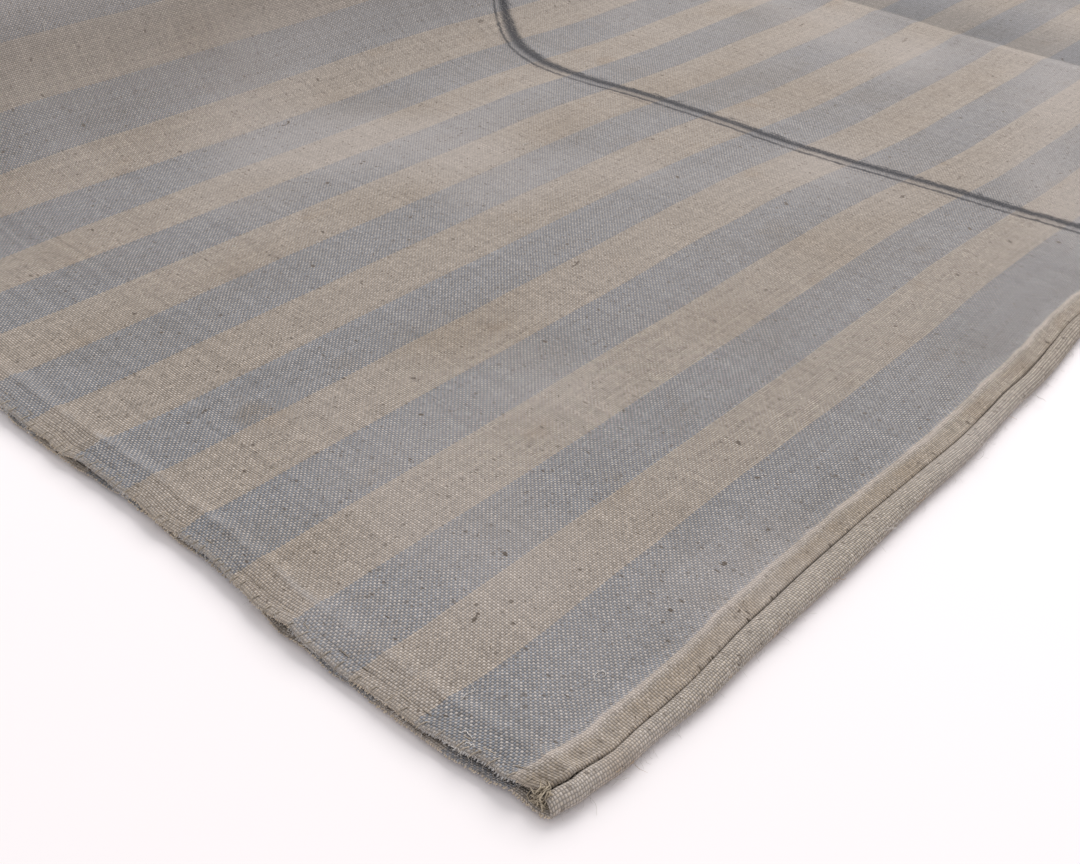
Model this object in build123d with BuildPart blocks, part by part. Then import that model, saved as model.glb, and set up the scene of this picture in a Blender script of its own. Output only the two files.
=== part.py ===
"""Mail sack of woven striped linen, lying on its back panel with its mouth to +Y.

Two panels of cloth are sewn together along both sides and the bottom. On the right the sack lies flat,
front panel on back panel. On the left it keeps a soft round fullness, which is open at the mouth.
Frame: +X to the right side seam, +Y from the bottom seam to the mouth, +Z up, and the origin on the
floor under the middle of the sack.
"""

import os
from math import asin, cos, degrees, pi, radians, sin

from build123d import *

# Driving dimensions, in millimetres and degrees
FLAT_WIDTH = 680.0  # across the sack when it is pressed flat
SACK_LENGTH = 1126.0  # bottom seam to mouth
CLOTH = 1.0  # thickness of one layer of the linen
FLAT_GAP = 2.3  # between the panels where the sack lies flat: the turned-in allowances hold it open
SEAM_INSET = 6.5  # the right side seam has rolled onto the top by this much
SEAM_GAP = 0.8  # between the two panels' edges at a side seam, where the sewing thread runs
THREAD_RADIUS = 0.35
JOIN_GAP = 0.3  # left between neighbouring soft pieces

FLAT_RUN = 327.0  # of the front panel from the right side seam to the foot of the fullness
FOOT_RUN = 90.0  # of cloth in the hollow bend at that foot
FOOT_TURN = 66.0  # steepest slope of the fullness on its right flank
CROWN_RADIUS = 115.0  # of the fullness over its top
CORNER_RADIUS = 13.0  # where the back panel leaves the floor at the left
CORNER_LAG = 1.3  # how much later than the front panel's rise the back panel's left edge turns up
CORNER_LAP = 3.5  # how far the back panel's left edge stands out from the front's along the taper
TAPER_LENGTH = 110.0  # over which the fullness dies away to the flat bottom seam

HEM_DEPTH = 38.0  # of the folded hem round the mouth
HEM_THICKNESS = 2.6  # two layers of pressed cloth and the tape between them
HEM_PLY = 0.8  # one pressed layer of the hem
TAPE_CLEARANCE = 0.1
TAPE_DEPTH = 34.0
STITCH_INSET = 3.5  # of each row of hem stitching from the hem's edge
STITCH_RISE = 0.4  # of the stitching from the cloth
STITCH_WIDTH = 0.6

EYELETS_AT = (100.0, 310.0, 520.0)  # along each panel's mouth, from the right side seam
EYELET_BORE = 5.0  # radius of the hole that a closing cord passes through
EYELET_BARREL = 5.7  # outer radius of the barrel
EYELET_HOLE = 5.9  # radius of the hole punched in the hem
EYELET_FLANGE = 10.0  # radius of the flange and of the washer
FLANGE_THICKNESS = 0.7
WASHER_THICKNESS = 0.6
LIP_RADIUS = 7.0  # of the barrel's rolled end, which holds the washer
LIP_THICKNESS = 0.3
SEAT_CLEARANCE = 0.05  # between an eyelet and the cloth that it grips

BOTTOM_THREAD_RADIUS = 0.4
KNOT_RADIUS = 1.1
BARTACK_LENGTH = 12.0
BARTACK_WIDTH = 4.0
BARTACK_RISE = 0.8

# Positions that follow from them
RIGHT = FLAT_WIDTH / 2
BOTTOM = -SACK_LENGTH / 2
MOUTH = SACK_LENGTH / 2
HEM_START = MOUTH - HEM_DEPTH
PANEL_START = BOTTOM + 2.0 * KNOT_RADIUS + JOIN_GAP
PANEL_END = HEM_START - JOIN_GAP
FRONT_EDGE = RIGHT - SEAM_INSET - SEAM_GAP / 2
BACK_EDGE = RIGHT - SEAM_INSET + SEAM_GAP / 2
FOOT_RADIUS = FOOT_RUN / radians(FOOT_TURN)
CROWN_RUN = FRONT_EDGE + RIGHT - FLAT_RUN - FOOT_RUN
CROWN_TURN = degrees(CROWN_RUN / CROWN_RADIUS)
CROWN_X = FRONT_EDGE - FLAT_RUN - (FOOT_RADIUS + CROWN_RADIUS) * sin(radians(FOOT_TURN))
CROWN_DROP = (FOOT_RADIUS + CROWN_RADIUS) * cos(radians(FOOT_TURN)) - FOOT_RADIUS
FRONT_BASE = CLOTH + FLAT_GAP
EYELET_DEPTH = WASHER_THICKNESS + LIP_THICKNESS + 2 * SEAT_CLEARANCE
BACK_HEM_BASE = FLANGE_THICKNESS + SEAT_CLEARANCE
FRONT_HEM_BASE = BACK_HEM_BASE + HEM_THICKNESS + 2 * EYELET_DEPTH + JOIN_GAP

# How the fullness grows from the bottom seam: distance from the panels' end, height of the front
# panel's underside where the sack is flat, and share of the full shape
GROWTH = (
    (0.0, CLOTH + JOIN_GAP, 0.02),
    (0.11 * TAPER_LENGTH, FRONT_BASE, 0.05),
    (0.41 * TAPER_LENGTH, FRONT_BASE, 0.34),
    (0.73 * TAPER_LENGTH, FRONT_BASE, 0.78),
    (TAPER_LENGTH, FRONT_BASE, 1.0),
    (PANEL_END - PANEL_START, FRONT_BASE, 1.0),
)


def unit(angle):
    """Direction at an angle from +X towards +Z, in a section across the sack."""
    return Vector(cos(radians(angle)), sin(radians(angle)))


def walk(start, heading, runs, shift):
    """Follows one surface of a strip of cloth, and returns (point, heading) at each of its joints.

    runs holds each stretch's length on the strip's base line and how far it turns, counter-clockwise
    positive. shift puts the surface that far to the right of the base line.
    """
    point = Vector(*start) + unit(heading - 90) * shift
    stations = [(point, heading)]
    for length, turn in runs:
        if turn == 0:
            point = point + unit(heading) * length
        else:
            radius = length / radians(turn) + shift
            point = point + (unit(heading + 90) - unit(heading + turn + 90)) * radius
        heading += turn
        stations.append((point, heading))
    return stations


def draw_surface(stations):
    """Draws the lines and tangent arcs between the joints of one surface."""
    for (near, near_heading), (far, far_heading) in zip(stations, stations[1:]):
        if near_heading == far_heading:
            Line(near, far)
        else:
            TangentArc(near, far, tangent=unit(near_heading))


def cloth_face(y, strip, inner, outer):
    """Section of a strip at y, between two distances to the right of its base line."""
    inner_surface = walk(*strip, inner)
    outer_surface = walk(*strip, outer)
    with BuildSketch(Plane.XZ.offset(-y)) as section:
        with BuildLine():
            draw_surface(inner_surface)
            draw_surface(outer_surface)
            Line(inner_surface[0][0], outer_surface[0][0])
            Line(inner_surface[-1][0], outer_surface[-1][0])
        make_face()
    return section.sketch


def front_strip(base, share):
    """Front panel, from the right side seam to the left one. Its base line is its inner surface."""
    runs = [
        (FLAT_RUN, 0),
        (FOOT_RUN, -FOOT_TURN * share),
        (CROWN_RUN, CROWN_TURN * share),
    ]
    return (FRONT_EDGE, base), 180, runs


def back_strip(base, front_base, thickness, share):
    """Back panel: over the right edge, along the floor and up the left flank to the front panel's edge.

    Its base line is its outer surface.
    """
    top = front_base + thickness
    wrap = (top - base) / 2
    outer_crown = CROWN_RADIUS + thickness
    lift = asin(
        (CORNER_RADIUS + base - FRONT_BASE + CROWN_DROP) / (outer_crown - CORNER_RADIUS)
    )
    corner_turn = 90 + degrees(lift)
    seam_turn = degrees(SEAM_GAP / outer_crown)
    flank_turn = 90 + FOOT_TURN - CROWN_TURN - degrees(lift) - seam_turn
    corner_x = CROWN_X - (outer_crown - CORNER_RADIUS) * cos(lift)
    runs = [
        (RIGHT - wrap - BACK_EDGE, 0),
        (pi * wrap, -180),
        (RIGHT - wrap - corner_x + CORNER_LAP * 4 * share * (1 - share), 0),
        (CORNER_RADIUS * radians(corner_turn), -corner_turn * share**CORNER_LAG),
        (outer_crown * radians(flank_turn), -flank_turn * share**CORNER_LAG),
    ]
    return (BACK_EDGE, top), 0, runs


def mouth_strip(panel):
    """Strip that the hem, its tape and its stitching follow on one panel, and the hem's outward sign."""
    if panel == "front":
        return front_strip(FRONT_HEM_BASE, 1.0), 1
    return back_strip(BACK_HEM_BASE, FRONT_HEM_BASE, HEM_THICKNESS, 1.0), -1


def mouth_layer(panel, inner, outer, far_y, depth, mode=Mode.ADD):
    """Adds or cuts a layer of the hem between two distances from its inner surface."""
    strip, outward = mouth_strip(panel)
    if outward < 0:
        inner, outer = HEM_THICKNESS - inner, HEM_THICKNESS - outer
    extrude(cloth_face(far_y, strip, inner, outer), amount=depth, mode=mode)


def eyelet_plane(panel, distance):
    """Plane on the hem's outer surface at one eyelet, facing out of the sack."""
    strip, outward = mouth_strip(panel)
    start, heading, runs = strip
    travelled = 0.0
    if panel == "back":
        # the back strip first goes over the right edge and onto the floor
        travelled = -(runs[0][0] + runs[1][0])
    left_to_go = distance - travelled
    part_runs = []
    for length, turn in runs:
        used = min(length, left_to_go)
        if used <= 0:
            break
        part_runs.append((used, turn * used / length))
        left_to_go -= used
    shift = HEM_THICKNESS if outward > 0 else 0.0
    point, final_heading = walk(start, heading, part_runs, shift)[-1]
    normal = unit(final_heading - 90 * outward)
    middle_y = MOUTH - HEM_DEPTH / 2
    return Plane(
        origin=(point.X, middle_y, point.Y),
        x_dir=(0, 1, 0),
        z_dir=(normal.X, 0, normal.Y),
    )


def seat_drop(plane):
    """How far a flat washer stands off the hem's curved inner surface at its middle."""
    return 0.0 if abs(plane.z_dir.Z) > 0.9999 else EYELET_FLANGE**2 / (2 * CROWN_RADIUS)


def ring(plane, height, thickness, outer_radius, inner_radius):
    """Adds a flat ring whose lower face is at a height above a plane."""
    with BuildSketch(plane.offset(height)) as annulus:
        Circle(outer_radius)
        Circle(inner_radius, mode=Mode.SUBTRACT)
    extrude(annulus.sketch, amount=thickness)


def finish_piece(piece, name):
    piece.part.label = name
    export_step(piece.part, f"parts/{name}.step")


def make_front_panel():
    sections = [
        cloth_face(PANEL_START + distance, front_strip(base, share), 0, CLOTH)
        for distance, base, share in GROWTH
    ]
    with BuildPart() as front_panel:
        loft([section.face() for section in sections], ruled=True)
    finish_piece(front_panel, "front_panel")


def make_back_panel():
    sections = [
        cloth_face(PANEL_START + distance, back_strip(0.0, base, CLOTH, share), 0, CLOTH)
        for distance, base, share in GROWTH
    ]
    with BuildPart() as back_panel:
        loft([section.face() for section in sections], ruled=True)
    finish_piece(back_panel, "back_panel")


def make_side_seam_threads():
    """The sewing thread of each side seam, between the edges of the two panels."""
    with BuildPart() as right_seam_thread:
        for distance, base, share in GROWTH:
            with BuildSketch(Plane.XZ.offset(-(PANEL_START + distance))):
                with Locations((RIGHT - SEAM_INSET, base + CLOTH / 2)):
                    Circle(THREAD_RADIUS)
        loft(ruled=True)
    finish_piece(right_seam_thread, "right_seam_thread")

    with BuildPart() as left_seam_thread:
        for distance, base, share in GROWTH:
            edge, heading = walk(*front_strip(base, share), CLOTH / 2)[-1]
            centre = edge + unit(heading) * (SEAM_GAP / 2)
            with BuildSketch(Plane.XZ.offset(-(PANEL_START + distance))):
                with Locations((centre.X, centre.Y)):
                    Circle(THREAD_RADIUS)
        loft(ruled=True)
    finish_piece(left_seam_thread, "left_seam_thread")


def make_bottom_seam():
    """The overcast thread along the bottom seam, and the knot of thread at each bottom corner."""
    seam_z = CLOTH + JOIN_GAP / 2
    seam_y = PANEL_START - BOTTOM_THREAD_RADIUS - JOIN_GAP / 2
    half_seam = RIGHT - 3 * KNOT_RADIUS
    with BuildPart() as bottom_seam_thread:
        with BuildSketch(Plane.YZ.offset(-half_seam)):
            with Locations((seam_y, seam_z)):
                Circle(BOTTOM_THREAD_RADIUS)
        extrude(amount=2 * half_seam)
    finish_piece(bottom_seam_thread, "bottom_seam_thread")

    for name, side in (("right_corner_knot", 1), ("left_corner_knot", -1)):
        with BuildPart() as corner_knot:
            knot_x = side * (half_seam + KNOT_RADIUS)
            with Locations((knot_x, BOTTOM + KNOT_RADIUS, seam_z)):
                Sphere(KNOT_RADIUS)
        finish_piece(corner_knot, name)


def make_mouth(panel):
    """The folded hem of one panel, the tape inside it, its stitching, and its eyelets."""
    planes = [eyelet_plane(panel, distance) for distance in EYELETS_AT]
    tape_low = HEM_PLY + TAPE_CLEARANCE
    tape_high = HEM_THICKNESS - HEM_PLY - TAPE_CLEARANCE

    with BuildPart() as hem:
        mouth_layer(panel, 0, HEM_THICKNESS, MOUTH, HEM_DEPTH)
        mouth_layer(
            panel, HEM_PLY, HEM_THICKNESS - HEM_PLY, MOUTH - HEM_PLY, HEM_DEPTH, Mode.SUBTRACT
        )
        punch_eyelet_holes(planes)
    finish_piece(hem, f"{panel}_mouth_hem")

    with BuildPart() as tape:
        mouth_layer(panel, tape_low, tape_high, MOUTH - HEM_PLY - TAPE_CLEARANCE, TAPE_DEPTH)
        punch_eyelet_holes(planes)
    finish_piece(tape, f"{panel}_mouth_tape")

    rows = {"upper": MOUTH - STITCH_INSET, "lower": HEM_START + STITCH_INSET}
    for row, row_y in rows.items():
        with BuildPart() as stitching:
            mouth_layer(panel, HEM_THICKNESS, HEM_THICKNESS + STITCH_RISE, row_y, STITCH_WIDTH)
        finish_piece(stitching, f"{panel}_hem_{row}_stitching")

    for number, plane in enumerate(planes, start=1):
        make_eyelet(plane, f"{panel}_eyelet_{number}", f"{panel}_washer_{number}")


def punch_eyelet_holes(planes):
    for plane in planes:
        with BuildSketch(plane.offset(-2 * HEM_THICKNESS)) as hole:
            Circle(EYELET_HOLE)
        extrude(hole.sketch, amount=3 * HEM_THICKNESS, mode=Mode.SUBTRACT)


def make_eyelet(plane, eyelet_name, washer_name):
    """A flanged eyelet set through the hem, and the washer that it is rolled over inside the sack."""
    washer_top = -HEM_THICKNESS - SEAT_CLEARANCE - seat_drop(plane)
    washer_bottom = washer_top - WASHER_THICKNESS
    barrel_bottom = washer_bottom - SEAT_CLEARANCE - LIP_THICKNESS
    with BuildPart() as eyelet:
        ring(plane, SEAT_CLEARANCE, FLANGE_THICKNESS, EYELET_FLANGE, EYELET_BORE)
        ring(plane, barrel_bottom, SEAT_CLEARANCE - barrel_bottom, EYELET_BARREL, EYELET_BORE)
        ring(plane, barrel_bottom, LIP_THICKNESS, LIP_RADIUS, EYELET_BORE)
    finish_piece(eyelet, eyelet_name)

    with BuildPart() as washer:
        ring(plane, washer_bottom, WASHER_THICKNESS, EYELET_FLANGE, EYELET_HOLE)
    finish_piece(washer, washer_name)


def make_bartacks():
    """The dense block of stitches across the top of each side seam, where it meets the hem."""
    for name, panel in (("right_bartack", None), ("left_bartack", "front")):
        with BuildPart() as bartack:
            if panel is None:
                across = RIGHT - SEAM_INSET
                base = FRONT_HEM_BASE + HEM_THICKNESS + JOIN_GAP / 3
                plane = Plane.XY.offset(base)
            else:
                edge, heading = walk(*mouth_strip(panel)[0], HEM_THICKNESS)[-1]
                normal = unit(heading - 90)
                centre = edge + normal * (JOIN_GAP / 3)
                plane = Plane(
                    origin=(centre.X, 0, centre.Y),
                    x_dir=(-normal.Y, 0, normal.X),
                    z_dir=(normal.X, 0, normal.Y),
                )
                across = 0.0
            along = HEM_START + BARTACK_LENGTH
            with BuildSketch(plane) as block:
                local_y = along if plane.y_dir.Y > 0 else -along
                with Locations((across, local_y)):
                    Rectangle(BARTACK_WIDTH, BARTACK_LENGTH)
            extrude(block.sketch, amount=BARTACK_RISE)
        finish_piece(bartack, name)


def main():
    os.makedirs("parts", exist_ok=True)
    make_front_panel()
    make_back_panel()
    make_side_seam_threads()
    make_bottom_seam()
    for panel in ("front", "back"):
        make_mouth(panel)
    make_bartacks()


if __name__ == "__main__":
    main()
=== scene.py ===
"""The looks of the mail sack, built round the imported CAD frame. Lengths are in metres.

Cloth is described by two distances on it: u, from the right side seam across the panel, and v, from the
panel's bottom end towards the mouth. Each cloth's "cloth" UV map holds (u, v), so the weave follows it.
"""

import math
import random

import bmesh
import bpy
import numpy as np
from mathutils import Matrix, Vector


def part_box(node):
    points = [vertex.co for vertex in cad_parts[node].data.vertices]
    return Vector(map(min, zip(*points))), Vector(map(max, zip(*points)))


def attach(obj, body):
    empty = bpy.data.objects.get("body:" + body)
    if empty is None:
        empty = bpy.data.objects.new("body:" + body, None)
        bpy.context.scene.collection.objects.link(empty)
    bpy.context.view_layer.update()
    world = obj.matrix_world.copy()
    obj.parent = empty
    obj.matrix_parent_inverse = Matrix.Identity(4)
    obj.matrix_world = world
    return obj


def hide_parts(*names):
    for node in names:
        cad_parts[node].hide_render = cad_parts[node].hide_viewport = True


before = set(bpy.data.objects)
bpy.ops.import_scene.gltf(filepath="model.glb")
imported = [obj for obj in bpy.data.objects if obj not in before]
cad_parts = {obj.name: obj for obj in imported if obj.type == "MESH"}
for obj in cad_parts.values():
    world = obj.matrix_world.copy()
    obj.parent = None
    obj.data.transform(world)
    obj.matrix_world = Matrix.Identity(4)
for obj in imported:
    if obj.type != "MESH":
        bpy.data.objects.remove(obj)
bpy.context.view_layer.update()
MM = 0.001

# The weave and its stripes
WARP_PITCH = 0.80 * MM
WEFT_PITCH = 0.843 * MM
CLOTH = 0.9 * MM
SELVEDGE_ENDS = 8
STRIPE_ENDS = (SELVEDGE_ENDS, 39, 31, 31, 33, 34, 31, 35, 31) + (32.4,) * 16 + (39, SELVEDGE_ENDS)
BACK_STRIPE_ENDS = (22, 25) + STRIPE_ENDS[2:]  # the back's plain edge is wider, so its roll shows no blue

# How the sack lies, as in the CAD model
FLAT_RUN = 0.327
FOOT_RUN = 0.090
FOOT_TURN = math.radians(66)
CROWN_RADIUS = 0.115
TAPER_LENGTH = 0.110
SEAM_GAP = 0.8 * MM
FRONT_BASE = 3.3 * MM  # height of the front panel's underside where the sack is flat
FRONT_HEM_BASE = 5.65 * MM
BACK_HEM_BASE = 0.75 * MM
HEM_THICKNESS = 2.6 * MM
HEM_PLY = 0.8 * MM
HEM_TUCK = 3.0 * MM  # of each panel's end inside the hem
HEM_RISE = 0.060  # length over which a panel lifts to meet its hem
FLANK_OFFSET = (0.4 * MM, -0.8 * MM)  # from the front's left edge to the back's, in a section
TAPE_DEPTH = 34 * MM
TAPE_THICKNESS = 0.8 * MM
STITCH_INSET = 3.5 * MM
EYELETS_AT = (0.100, 0.310, 0.520)
EYELET_HOLE = 5.9 * MM

# Places taken from the frame
FRONT_LOW, FRONT_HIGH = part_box("front_panel")
HEM_LOW, HEM_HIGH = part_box("front_mouth_hem")
GROOVE_X = FRONT_HIGH.x
RIGHT_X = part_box("back_panel")[1].x
PANEL_START = FRONT_LOW.y
HEM_START = HEM_LOW.y
MOUTH = HEM_HIGH.y
HEM_DEPTH = MOUTH - HEM_START
PANEL_LENGTH = HEM_START - PANEL_START
PANEL_WIDTH = GROOVE_X + RIGHT_X
CREASE_AT = -3.8 * MM - PANEL_START

# How the right seam strays sideways along the cloth: (v, distance towards +X)
SEAM_STRAY = (
    (0.000, -4.3 * MM),
    (0.010, -1.9 * MM),
    (0.026, 0.0),
    (0.045, 0.2 * MM),
    (0.080, -1.2 * MM),
    (0.120, -2.0 * MM),
    (0.200, -0.7 * MM),
    (0.250, -2.2 * MM),
    (0.310, -6.0 * MM),
    (0.420, -3.0 * MM),
    (0.600, -1.0 * MM),
    (PANEL_LENGTH, 0.0),
)
# Width of the rolled edge outside the right seam: (v, width)
ROLL_WIDTH = (
    (0.000, 4.8 * MM),
    (0.035, 4.9 * MM),
    (0.065, 6.5 * MM),
    (0.130, 7.9 * MM),
    (0.180, 7.1 * MM),
    (0.235, 5.4 * MM),
    (0.310, 5.1 * MM),
    (0.420, 6.0 * MM),
    (PANEL_LENGTH - 0.04, 6.3 * MM),
    (PANEL_LENGTH, 6.5 * MM),
)
# How the bottom edge strays lengthwise: (u, distance towards +Y)
EDGE_STRAY = (
    (0.000, 4.8 * MM),
    (0.006, 3.1 * MM),
    (0.012, 2.3 * MM),
    (0.024, 0.2 * MM),
    (0.042, -1.3 * MM),
    (0.100, -1.4 * MM),
    (0.135, -0.2 * MM),
    (0.170, 0.9 * MM),
    (0.195, -0.6 * MM),
    (0.235, -1.6 * MM),
    (0.330, 0.0),
    (0.480, 1.0 * MM),
    (PANEL_WIDTH, 0.0),
)

rng = random.Random(7)


# ---------------------------------------------------------------- numbers


def smooth(edge0, edge1, x):
    """0 below the first edge, 1 above the second, and a smooth step between them."""
    t = np.clip((x - edge0) / (edge1 - edge0), 0, 1)
    return t * t * (3 - 2 * t)


def hill(centre, width, x):
    """1 at the centre, dying away over the width."""
    return np.exp(-(((x - centre) / width) ** 2))


def wave(x, y, seed):
    """Smooth noise from -1 to 1 with features one unit across."""
    x, y = np.broadcast_arrays(np.asarray(x, float), np.asarray(y, float))
    lattice = np.random.default_rng(seed).uniform(-1, 1, (64, 64))
    x0, y0 = np.floor(x).astype(int), np.floor(y).astype(int)
    fx, fy = x - x0, y - y0
    fx, fy = fx * fx * (3 - 2 * fx), fy * fy * (3 - 2 * fy)

    def at(i, j):
        return lattice[(x0 + i) % 64, (y0 + j) % 64]

    low = at(0, 0) * (1 - fx) + at(1, 0) * fx
    high = at(0, 1) * (1 - fx) + at(1, 1) * fx
    return low * (1 - fy) + high * fy


def lines_between(*stretches):
    """Grid lines from 0 over stretches of (end, spacing)."""
    lines, start = [0.0], 0.0
    for end, spacing in stretches:
        count = max(1, round((end - start) / spacing))
        lines += list(np.linspace(start, end, count + 1)[1:])
        start = end
    return np.array(lines)


def eased(points, x):
    """Smooth line through (place, value) points."""
    places, values = np.array(points).T
    index = np.clip(np.searchsorted(places, x, side="right") - 1, 0, len(places) - 2)
    share = smooth(places[index], places[index + 1], x)
    return values[index] * (1 - share) + values[index + 1] * share


def bezier(points, count):
    """Points along a cubic curve with four control points."""
    t = np.linspace(0, 1, count)[:, None]
    a, b, c, d = (np.array(p, float) for p in points)
    return a * (1 - t) ** 3 + 3 * b * t * (1 - t) ** 2 + 3 * c * t**2 * (1 - t) + d * t**3


# ---------------------------------------------------------------- the sack's sections


def front_section(u, share, ease, base):
    """Points (x, z) of the front's inner surface at distances u, and its slope, in one section."""
    fine = np.linspace(0, PANEL_WIDTH, 1200)
    rise = np.clip((fine - FLAT_RUN) / FOOT_RUN, 0, 1) ** ease
    over = np.clip(fine - FLAT_RUN - FOOT_RUN, 0, None) / CROWN_RADIUS
    slope = share * (FOOT_TURN * rise - over)
    middle = (slope[1:] + slope[:-1]) / 2
    step = fine[1] - fine[0]
    x = GROOVE_X - np.concatenate([[0], np.cumsum(np.cos(middle) * step)])
    z = base + np.concatenate([[0], np.cumsum(np.sin(middle) * step)])
    slope_at = np.interp(u, fine, slope)
    points = np.stack([np.interp(u, fine, x), np.interp(u, fine, z)], axis=-1)
    outward = np.stack([np.sin(slope_at), np.cos(slope_at)], axis=-1)
    return points, outward, slope_at


def back_section(u, share, left_end, left_slope, base, top, thickness, roll=6.5 * MM):
    """Points and outward directions of the back's middle line: right edge, floor and left flank."""
    low = base + thickness / 2
    edge = GROOVE_X + SEAM_GAP / 2 + roll - thickness / 2
    groove = GROOVE_X + 0.75 * SEAM_GAP
    middle = (low + top) / 2
    over_points = [
        (groove, top - 0.5 * MM),
        (groove + 0.3 * MM, top + 1.1 * MM),
        (edge, top + 1.5 * MM),
        (edge, middle),
    ]
    over = bezier(over_points, 18)
    under = bezier([(edge, middle), (edge, low - 0.3 * MM), (edge - 3 * MM, low), (edge - 7 * MM, low)], 14)
    turn_x = left_end[0] + (9 + 56 * share * (1 - share)) * MM
    inward = np.array([-math.cos(left_slope), math.sin(left_slope)])
    flank_pull = (2 + 23 * share) * MM
    left = bezier(
        [(turn_x, low), (turn_x - (5 + 25 * share) * MM, low), left_end + inward * flank_pull, left_end], 50
    )
    floor = np.linspace((edge - 7 * MM, low), (turn_x, low), 80)
    line = np.concatenate([over, under[1:], floor[1:], left[1:]])
    run = np.concatenate([[0], np.cumsum(np.linalg.norm(np.diff(line, axis=0), axis=1))])
    run = run / run[-1] * PANEL_WIDTH
    points = np.stack([np.interp(u, run, line[:, 0]), np.interp(u, run, line[:, 1])], axis=-1)
    along = np.gradient(points, u, axis=0)
    along /= np.linalg.norm(along, axis=1)[:, None]
    return points, np.stack([-along[:, 1], along[:, 0]], axis=-1)


def share_at(v):
    """How much of the full height the fullness has at a distance from the bottom."""
    return smooth(-0.004, TAPER_LENGTH, v)


def ease_at(v):
    """The foot of the fullness turns up later in the half near the bottom than at the mouth."""
    return 1.45 - 0.45 * smooth(0.60, 0.95, v)


def seam_relief(u, v):
    """Height that the seams and the crease give the front over its flat lie."""
    fold = 1.35 * MM * (1 + 0.25 * wave(v / 0.035, 0, 3) + 0.35 * wave(v / 0.012, 0, 6))
    right = -0.7 * MM * np.exp(-((u / (0.5 * MM)) ** 2)) + fold * hill(6.6 * MM, 3.0 * MM, u)
    edge = -0.8 * MM * np.exp(-((v / (1.5 * MM)) ** 2))
    stitched = -0.5 * MM * hill(3.8 * MM, 0.9 * MM, v) * (1 + 0.8 * wave(u / 0.006, 0, 4))
    allowance = 0.75 * MM * hill(10.5 * MM, 2.6 * MM, v) * (1 + 0.5 * wave(u / 0.02, 0, 5))
    crease = 1.2 * MM * hill(CREASE_AT - 5 * MM, 11 * MM, v) - 0.6 * MM * hill(CREASE_AT + 4 * MM, 6 * MM, v)
    return right + edge + stitched + allowance + crease


def undulation(u, v):
    """Soft unevenness of cloth that lies loose, and the puckers that the bottom seam draws into it."""
    soft = 0.8 * MM * wave(u / 0.085, v / 0.13, 11) + 0.35 * MM * wave(u / 0.034, v / 0.05, 12)
    away = smooth(0.004, 0.05, v) * smooth(0.002, 0.03, u)
    puckers = 0.55 * MM * wave(u / 0.011, v / 0.05, 13) * np.exp(-v / 0.018)
    pulls = 0.6 * MM * wave(u / 0.028 + v / 0.12, v / 0.25, 14) * np.exp(-v / 0.09)
    full = smooth(0.26, 0.40, u)
    gathers = 2.4 * MM * wave(u / 0.030, v / 0.11, 15) * full * hill(0.075, 0.05, v)
    body = 2.2 * MM * wave(u / 0.060, v / 0.17, 16) * full * smooth(0.10, 0.3, v)
    return (soft + pulls) * away + puckers + gathers + body


def bottom_lift(u, v):
    """How far the stiff seamed bottom edge stands off the floor."""
    lift = 0.6 * MM + 0.6 * MM * wave(u / 0.06, 0, 23) + 0.5 * MM * wave(u / 0.022, 0, 24)
    return np.maximum(lift, 0.2 * MM) * np.exp(-v / 0.016)


def seam_wander(u, v):
    """How far the right seam and its rolled edge stray sideways."""
    fine = (0.35 * MM * wave(v / 0.03, 0, 27) + 0.2 * MM * wave(v / 0.012, 0, 28)) * np.exp(-u / 0.02)
    return fine + eased(SEAM_STRAY, v) * np.exp(-u / 0.045)


def front_drift(u, v):
    """How far the loose front has slid towards the right seam, past the worn line."""
    slid = smooth(0.30, 0.42, v) * (1 - smooth(0.75, 1.0, v))
    return 8 * MM * slid * smooth(0.03, 0.11, u) * (1 - smooth(0.42, 0.62, u))


def edge_wander(u, v):
    """How far the bottom edge strays lengthwise."""
    stray = 0.9 * MM * wave(u / 0.010, 0, 21) + 0.7 * MM * wave(u / 0.035, 0, 22)
    stray = stray + 0.3 * MM * wave(u / 0.004, 0, 25)
    return stray * np.exp(-v / 0.012) + eased(EDGE_STRAY, u) * np.exp(-v / 0.03)


def back_edge_wander(u, v):
    """The back's edge keeps to the front's, a little short of it in places."""
    return edge_wander(u, v) + 0.5 * MM * wave(u / 0.008, 0, 29) * np.exp(-v / 0.012)


def front_base_at(v):
    """Height of the front's underside where the sack is flat, rising to meet the hem."""
    at_hem = smooth(PANEL_LENGTH - HEM_RISE, PANEL_LENGTH, v)
    return FRONT_BASE + at_hem * (FRONT_HEM_BASE - FRONT_BASE + (HEM_THICKNESS - CLOTH) / 2)


def front_cloth_grid(us, vs):
    """Middle points and outward directions of the front panel, as arrays (v, u, 3)."""
    points = np.zeros((len(vs), len(us), 3))
    normals = np.zeros_like(points)
    for row, v in enumerate(vs):
        at_hem = smooth(PANEL_LENGTH - HEM_RISE, PANEL_LENGTH, v)
        flat, outward, _ = front_section(us, share_at(v), ease_at(v), front_base_at(v))
        proud = CLOTH / 2 + (seam_relief(us, v) + undulation(us, v)) * (1 - at_hem)
        place = flat + outward * proud[:, None]
        place[:, 1] += bottom_lift(us, v)
        place[:, 0] += seam_wander(us, v) + front_drift(us, v)
        points[row] = np.stack([place[:, 0], PANEL_START + v + edge_wander(us, v), place[:, 1]], axis=1)
        normals[row] = np.stack([outward[:, 0], np.zeros(len(us)), outward[:, 1]], axis=1)
    return points, normals


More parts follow.
